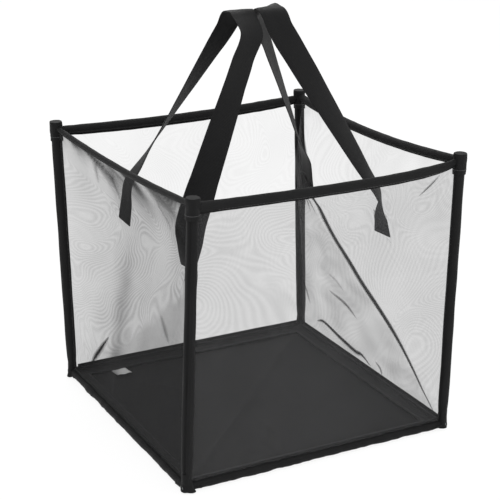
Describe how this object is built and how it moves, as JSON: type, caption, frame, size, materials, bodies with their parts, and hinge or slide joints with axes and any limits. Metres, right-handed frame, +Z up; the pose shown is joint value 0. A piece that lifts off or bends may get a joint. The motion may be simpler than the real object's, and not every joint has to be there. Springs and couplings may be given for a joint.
{
  "type": "folding net trap",
  "caption": "Open-topped square net box on a rod frame that folds flat, with a cloth floor and two webbing carrying handles.",
  "frame": {"origin": "centre of the footprint, on the surface that the floor rests on", "axes": "+Z up, out of the open top; +Y towards the back; the handles are sewn to the nets at -X and +X"},
  "size_m": [0.397, 0.397, 0.5481],
  "materials": {
    "binding": "matte woven polyester tape, black",
    "rod": "pultruded glass fibre, satin grey",
    "net": "fine black knitted mesh, see-through",
    "cloth": "black woven oxford cloth, matt",
    "webbing": "black woven webbing, slight sheen",
    "label": "white woven tape, blank"
  },
  "bodies": {
    "base": {"floor_panel": "cloth", "care_label": "label", "floor_sleeve_left": "binding", "floor_rod_left": "rod", "floor_sleeve_front": "binding", "floor_rod_front": "rod", "floor_sleeve_right": "binding", "floor_rod_right": "rod", "floor_sleeve_back": "binding", "floor_rod_back": "rod", "net_wall_left": "net", "net_wall_front": "net", "net_wall_right": "net", "net_wall_back": "net", "handle_left": "webbing", "handle_right": "webbing"},
    "post_front_left": {"post_sleeve_front_left": "binding", "post_rod_front_left": "rod", "corner_cap_front_left": "binding"},
    "rim_left": {"rim_sleeve_left": "binding", "rim_rod_left": "rod"},
    "post_front_right": {"post_sleeve_front_right": "binding", "post_rod_front_right": "rod", "corner_cap_front_right": "binding"},
    "rim_front": {"rim_sleeve_front": "binding", "rim_rod_front": "rod"},
    "post_back_right": {"post_sleeve_back_right": "binding", "post_rod_back_right": "rod", "corner_cap_back_right": "binding"},
    "rim_right": {"rim_sleeve_right": "binding", "rim_rod_right": "rod"},
    "post_back_left": {"post_sleeve_back_left": "binding", "post_rod_back_left": "rod", "corner_cap_back_left": "binding"},
    "rim_back": {"rim_sleeve_back": "binding", "rim_rod_back": "rod"}
  },
  "joints": [
    {"name": "fold_post_front_left", "type": "hinge", "parent": "base", "child": "post_front_left", "pos_m": [-0.19, -0.19, 0.021], "axis": [0, 1, 0], "range_deg": [0, 85], "deforming": ["net_wall_left", "net_wall_front", "net_wall_right", "net_wall_back", "handle_left", "handle_right"]},
    {"name": "fold_rim_left", "type": "hinge", "parent": "post_front_left", "child": "rim_left", "pos_m": [-0.19, -0.175, 0.3675], "axis": [-1, 0, 0], "range_deg": [0, 90]},
    {"name": "fold_post_front_right", "type": "hinge", "parent": "base", "child": "post_front_right", "pos_m": [0.19, -0.19, 0.021], "axis": [-1, 0, 0], "range_deg": [0, 85]},
    {"name": "fold_rim_front", "type": "hinge", "parent": "post_front_right", "child": "rim_front", "pos_m": [0.175, -0.19, 0.3675], "axis": [0, -1, 0], "range_deg": [0, 90]},
    {"name": "fold_post_back_right", "type": "hinge", "parent": "base", "child": "post_back_right", "pos_m": [0.19, 0.19, 0.021], "axis": [0, -1, 0], "range_deg": [0, 85]},
    {"name": "fold_rim_right", "type": "hinge", "parent": "post_back_right", "child": "rim_right", "pos_m": [0.19, 0.175, 0.3675], "axis": [1, 0, 0], "range_deg": [0, 90]},
    {"name": "fold_post_back_left", "type": "hinge", "parent": "base", "child": "post_back_left", "pos_m": [-0.19, 0.19, 0.021], "axis": [1, 0, 0], "range_deg": [0, 85]},
    {"name": "fold_rim_back", "type": "hinge", "parent": "post_back_left", "child": "rim_back", "pos_m": [-0.175, 0.19, 0.3675], "axis": [0, 1, 0], "range_deg": [0, 90]}
  ],
  "couplings": [
    {"joint": "fold_rim_left", "follows": "fold_post_front_left", "ratio": 1.0588},
    {"joint": "fold_post_front_right", "follows": "fold_post_front_left", "ratio": 1},
    {"joint": "fold_rim_front", "follows": "fold_post_front_left", "ratio": 1.0588},
    {"joint": "fold_post_back_right", "follows": "fold_post_front_left", "ratio": 1},
    {"joint": "fold_rim_right", "follows": "fold_post_front_left", "ratio": 1.0588},
    {"joint": "fold_post_back_left", "follows": "fold_post_front_left", "ratio": 1},
    {"joint": "fold_rim_back", "follows": "fold_post_front_left", "ratio": 1.0588}
  ]
}
